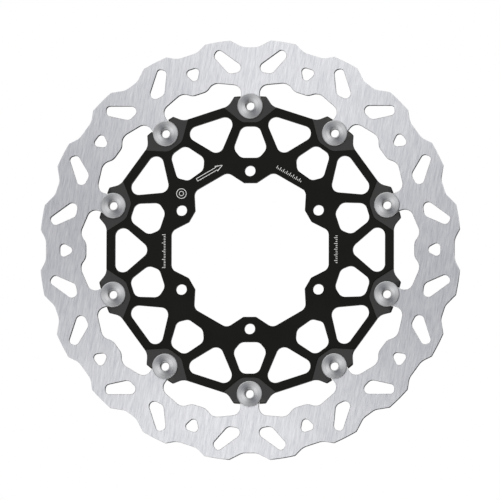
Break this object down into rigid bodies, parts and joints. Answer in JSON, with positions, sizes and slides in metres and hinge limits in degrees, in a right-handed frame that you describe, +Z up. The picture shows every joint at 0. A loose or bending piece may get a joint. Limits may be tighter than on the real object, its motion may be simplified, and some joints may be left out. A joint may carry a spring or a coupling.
{
  "type": "brake disc rotor",
  "caption": "Floating motorcycle brake disc: a wavy slotted steel braking ring held by sprung bobbins on a black windowed aluminium carrier.",
  "frame": {"origin": "centre of the carrier's back face, which seats on the wheel hub", "axes": "+Y along the disc's axis towards the wheel hub, so the outer face looks to -Y; +Z up through a bobbin and a mounting hole; +X to the right seen from outside"},
  "size_m": [0.3186, 0.011, 0.3186],
  "materials": {
    "ground_stainless": "ground with a fine straight grain",
    "black_anodised": "fine satin black anodising, milled lugs a little lighter",
    "turned_steel": "turned face with fine round tool marks",
    "spring_steel": "plain bright spring steel",
    "laser_mark": "matt pale laser marking"
  },
  "bodies": {
    "carrier": {"carrier": "black_anodised"},
    "ring": {"ring": "ground_stainless"},
    "bobbin_01": {"bobbin_01": "turned_steel", "thrust_washer_01": "spring_steel", "wave_spring_01": "spring_steel", "circlip_01": "spring_steel"},
    "bobbin_02": {"bobbin_02": "turned_steel", "thrust_washer_02": "spring_steel", "wave_spring_02": "spring_steel", "circlip_02": "spring_steel"},
    "bobbin_03": {"bobbin_03": "turned_steel", "thrust_washer_03": "spring_steel", "wave_spring_03": "spring_steel", "circlip_03": "spring_steel"},
    "bobbin_04": {"bobbin_04": "turned_steel", "thrust_washer_04": "spring_steel", "wave_spring_04": "spring_steel", "circlip_04": "spring_steel"},
    "bobbin_05": {"bobbin_05": "turned_steel", "thrust_washer_05": "spring_steel", "wave_spring_05": "spring_steel", "circlip_05": "spring_steel"},
    "bobbin_06": {"bobbin_06": "turned_steel", "thrust_washer_06": "spring_steel", "wave_spring_06": "spring_steel", "circlip_06": "spring_steel"},
    "bobbin_07": {"bobbin_07": "turned_steel", "thrust_washer_07": "spring_steel", "wave_spring_07": "spring_steel", "circlip_07": "spring_steel"},
    "bobbin_08": {"bobbin_08": "turned_steel", "thrust_washer_08": "spring_steel", "wave_spring_08": "spring_steel", "circlip_08": "spring_steel"},
    "bobbin_09": {"bobbin_09": "turned_steel", "thrust_washer_09": "spring_steel", "wave_spring_09": "spring_steel", "circlip_09": "spring_steel"},
    "bobbin_10": {"bobbin_10": "turned_steel", "thrust_washer_10": "spring_steel", "wave_spring_10": "spring_steel", "circlip_10": "spring_steel"}
  },
  "joints": [
    {"name": "ring_float", "type": "slide", "parent": "carrier", "child": "ring", "axis": [0, 1, 0], "range_m": [-0.0002, 0.0002]},
    {"name": "bobbin_01_turn", "type": "hinge", "parent": "carrier", "child": "bobbin_01", "pos_m": [0, -0.0035, 0.1093], "axis": [0, 1, 0], "continuous": true},
    {"name": "bobbin_02_turn", "type": "hinge", "parent": "carrier", "child": "bobbin_02", "pos_m": [0.06424, -0.0035, 0.08843], "axis": [0, 1, 0], "continuous": true},
    {"name": "bobbin_03_turn", "type": "hinge", "parent": "carrier", "child": "bobbin_03", "pos_m": [0.10395, -0.0035, 0.03378], "axis": [0, 1, 0], "continuous": true},
    {"name": "bobbin_04_turn", "type": "hinge", "parent": "carrier", "child": "bobbin_04", "pos_m": [0.10395, -0.0035, -0.03378], "axis": [0, 1, 0], "continuous": true},
    {"name": "bobbin_05_turn", "type": "hinge", "parent": "carrier", "child": "bobbin_05", "pos_m": [0.06424, -0.0035, -0.08843], "axis": [0, 1, 0], "continuous": true},
    {"name": "bobbin_06_turn", "type": "hinge", "parent": "carrier", "child": "bobbin_06", "pos_m": [0, -0.0035, -0.1093], "axis": [0, 1, 0], "continuous": true},
    {"name": "bobbin_07_turn", "type": "hinge", "parent": "carrier", "child": "bobbin_07", "pos_m": [-0.06424, -0.0035, -0.08843], "axis": [0, 1, 0], "continuous": true},
    {"name": "bobbin_08_turn", "type": "hinge", "parent": "carrier", "child": "bobbin_08", "pos_m": [-0.10395, -0.0035, -0.03378], "axis": [0, 1, 0], "continuous": true},
    {"name": "bobbin_09_turn", "type": "hinge", "parent": "carrier", "child": "bobbin_09", "pos_m": [-0.10395, -0.0035, 0.03378], "axis": [0, 1, 0], "continuous": true},
    {"name": "bobbin_10_turn", "type": "hinge", "parent": "carrier", "child": "bobbin_10", "pos_m": [-0.06424, -0.0035, 0.08843], "axis": [0, 1, 0], "continuous": true}
  ]
}
